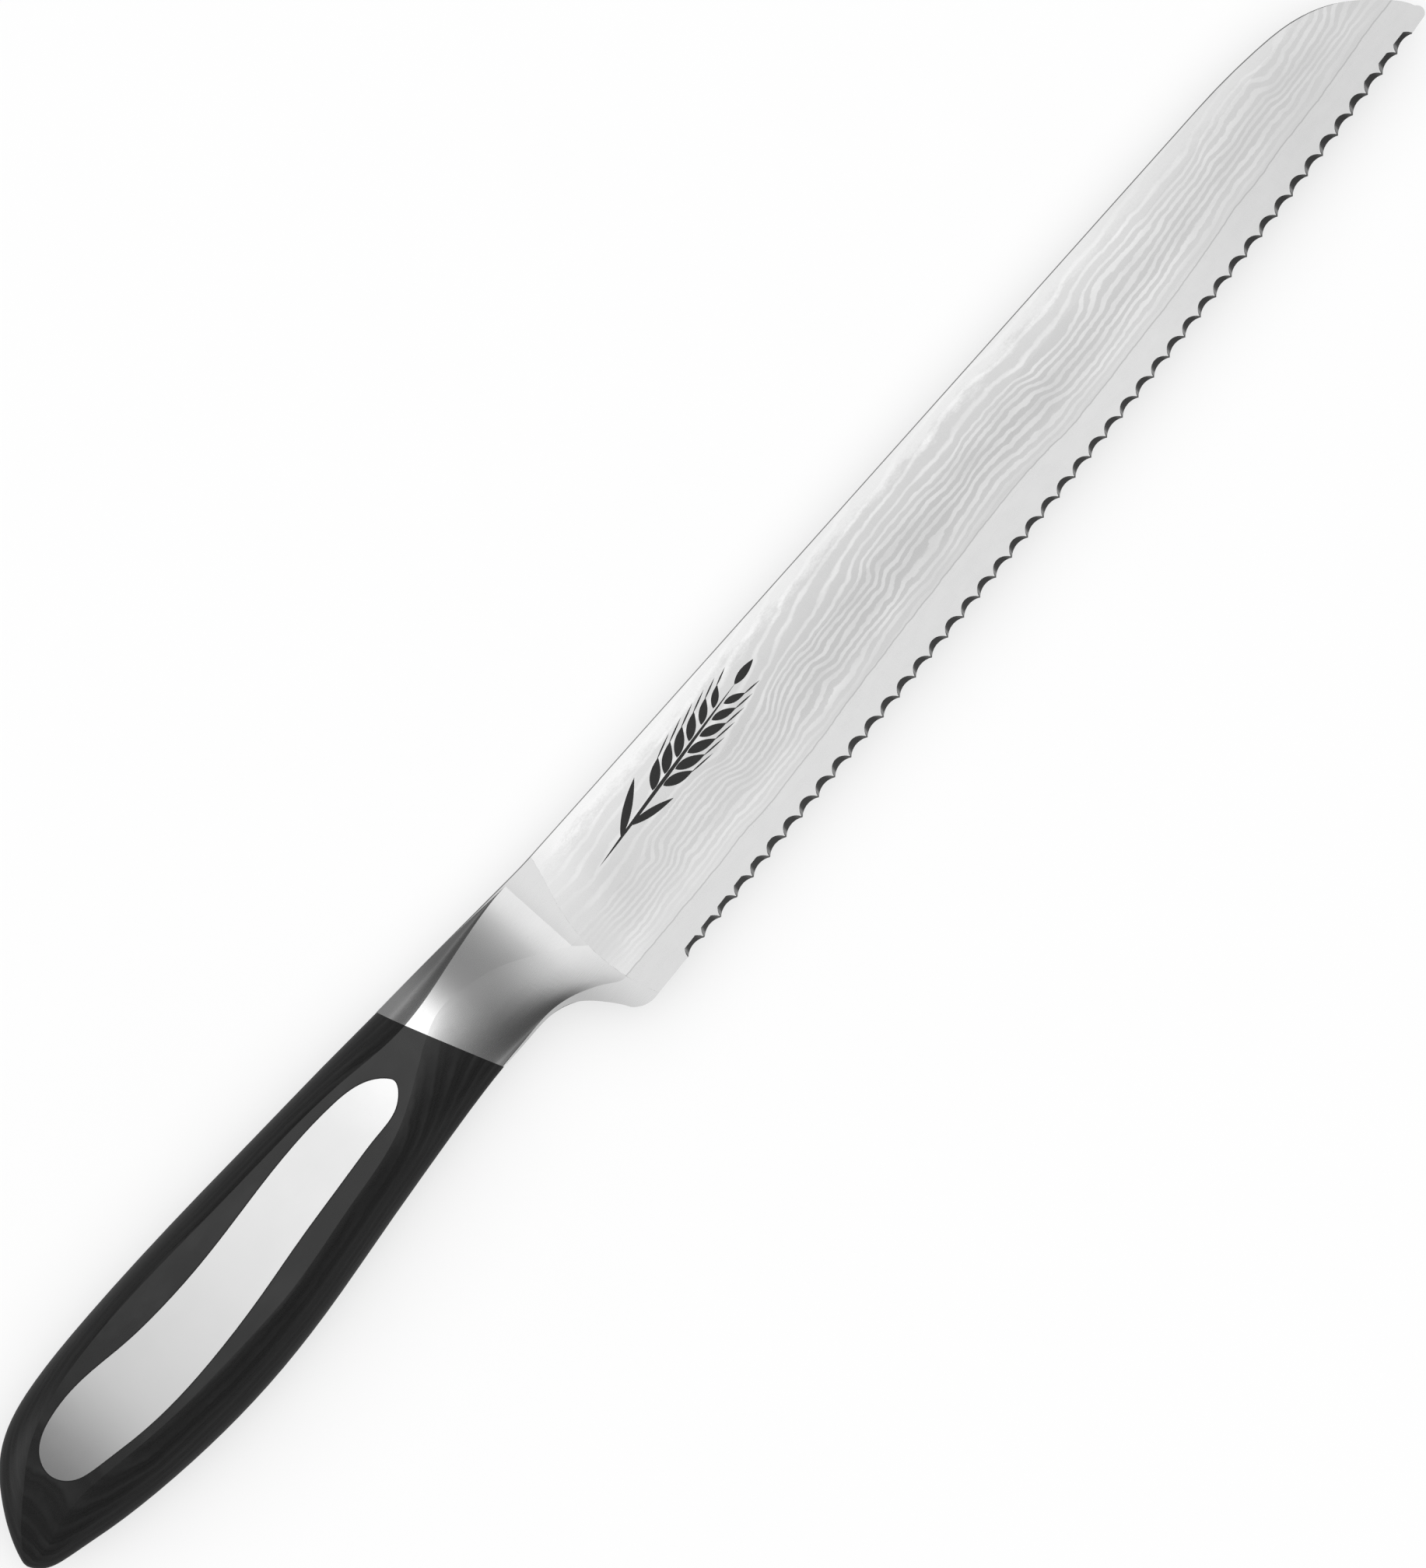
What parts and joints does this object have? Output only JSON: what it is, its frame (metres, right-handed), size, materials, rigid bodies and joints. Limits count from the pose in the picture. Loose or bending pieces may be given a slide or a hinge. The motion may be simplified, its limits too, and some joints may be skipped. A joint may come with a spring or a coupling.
{
  "type": "bread knife",
  "caption": "Bread knife with a scalloped edge, a three-ply folded-steel blade, a forged bolster and a black layered handle with wavy metal inlays.",
  "frame": {"origin": "centre of the bounding box, at the bottom, where the handle's left land rests", "axes": "+X from the butt to the tip along the spine, +Y from the edge to the spine, +Z out of the right-hand flat of the blade; the knife lies on its left side"},
  "size_m": [0.3489, 0.0353, 0.0172],
  "materials": {
    "core_steel": "satin",
    "folded_steel": "etched satin",
    "bolster_steel": "satin",
    "tang_steel": "mill",
    "layered_resin": "satin, faint layer lines",
    "inlay_metal": "bright satin",
    "adhesive": "matte"
  },
  "bodies": {
    "root": {"blade_core": "core_steel", "blade_cladding_right": "folded_steel", "blade_cladding_left": "folded_steel", "bolster": "bolster_steel", "tang": "tang_steel", "tang_epoxy": "adhesive", "handle_scale_right": "layered_resin", "handle_scale_left": "layered_resin", "inlay_right": "inlay_metal", "inlay_left": "inlay_metal", "inlay_bond_right": "adhesive", "inlay_bond_left": "adhesive"}
  },
  "joints": []
}
